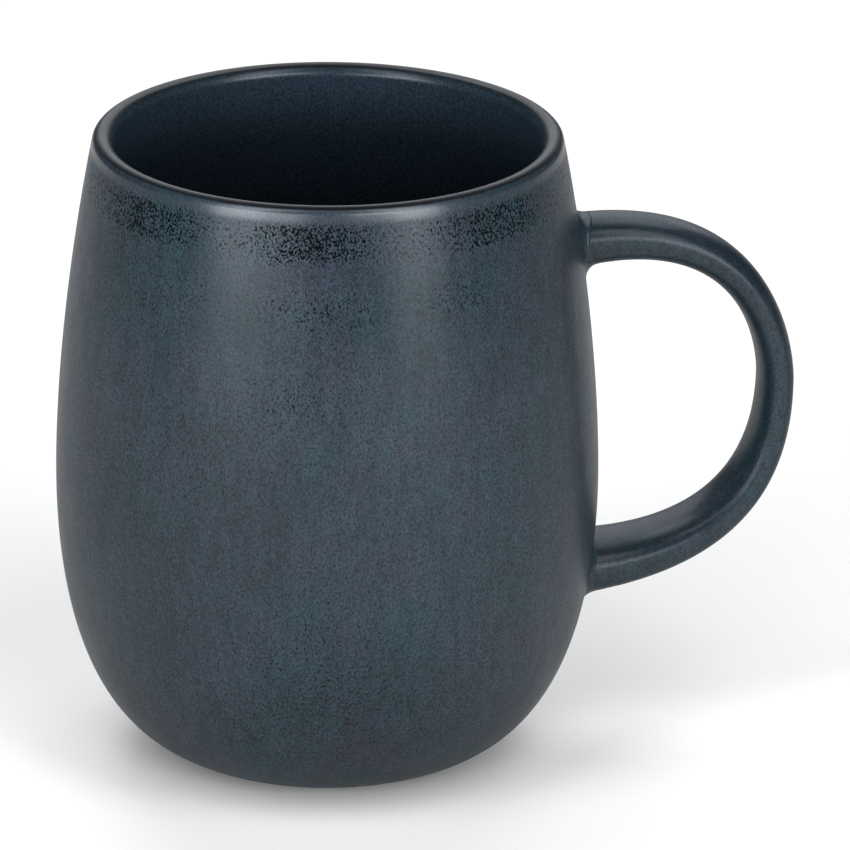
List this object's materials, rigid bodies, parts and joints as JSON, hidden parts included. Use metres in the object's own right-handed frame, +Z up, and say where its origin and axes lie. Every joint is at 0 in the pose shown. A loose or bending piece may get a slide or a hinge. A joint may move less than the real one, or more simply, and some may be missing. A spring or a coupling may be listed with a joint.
{
  "type": "ceramic mug",
  "caption": "Round-bellied glazed stoneware mug on a narrow foot ring, with a strap handle luted to its side, for holding and drinking hot drinks.",
  "frame": {"origin": "the middle of the mug's footprint, handle included, in the plane that the foot ring stands on; the cup's own axis is vertical through x = -0.01755, y = 0", "axes": "+Z up through the mouth, +X from the cup towards the handle, +Y across the handle"},
  "size_m": [0.129, 0.094, 0.1118],
  "materials": {
    "body_glaze": "satin slate-blue reactive glaze, faintly mottled with teal, with a band of near-black speckle under the lip and a dark inside",
    "handle_glaze": "the same satin slate-blue glaze, breaking darker along the strap's edges",
    "joint_glaze": "the same glaze, pooled a little thicker and darker in the hollow of the joint",
    "bare_clay": "unglazed buff stoneware, wiped clean on the foot ring"
  },
  "bodies": {
    "root": {"mug_body": "body_glaze", "handle": "handle_glaze", "upper_handle_joint": "joint_glaze", "lower_handle_joint": "joint_glaze"}
  },
  "joints": []
}
